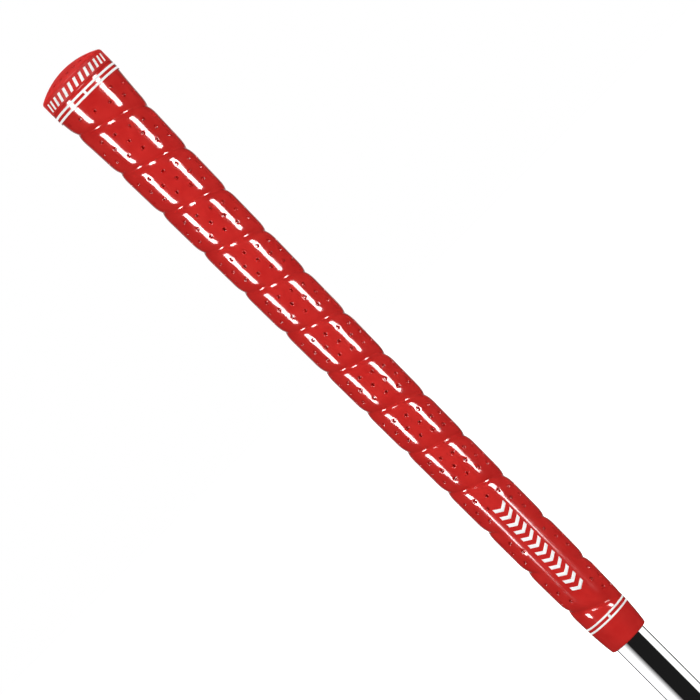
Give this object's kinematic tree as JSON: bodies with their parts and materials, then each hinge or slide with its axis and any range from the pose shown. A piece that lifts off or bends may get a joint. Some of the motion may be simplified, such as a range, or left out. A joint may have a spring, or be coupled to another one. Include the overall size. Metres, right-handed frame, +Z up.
{
  "type": "golf grip",
  "caption": "Tapered wrap-pattern golf grip with a domed vented butt cap, white paint rings and marks, taped onto the butt end of a steel shaft.",
  "frame": {"origin": "centre of the shaft's cut lower end, on the grip's axis", "axes": "+Z up along the shaft to the butt cap; -Y is the front, where the panel motif and alignment marks are; +X to the right seen from the front"},
  "size_m": [0.027, 0.027, 0.3117],
  "materials": {
    "sleeve_rubber": "glossy moulded red rubber",
    "cap_rubber": "satin moulded red rubber, harder grade",
    "white_paint": "satin white paint fill",
    "grip_tape": "creped paper tape, tacky both sides",
    "chromed_steel": "bright chrome plate on steel"
  },
  "bodies": {
    "root": {"grip_sleeve": "sleeve_rubber", "butt_cap": "cap_rubber", "cap_motif": "white_paint", "panel_motif": "white_paint", "cap_ring_upper": "white_paint", "cap_ring_lower": "white_paint", "cap_alignment_mark": "white_paint", "mouth_ring_upper": "white_paint", "mouth_ring_lower": "white_paint", "mouth_alignment_mark": "white_paint", "grip_tape": "grip_tape", "shaft_tube": "chromed_steel"}
  },
  "joints": []
}
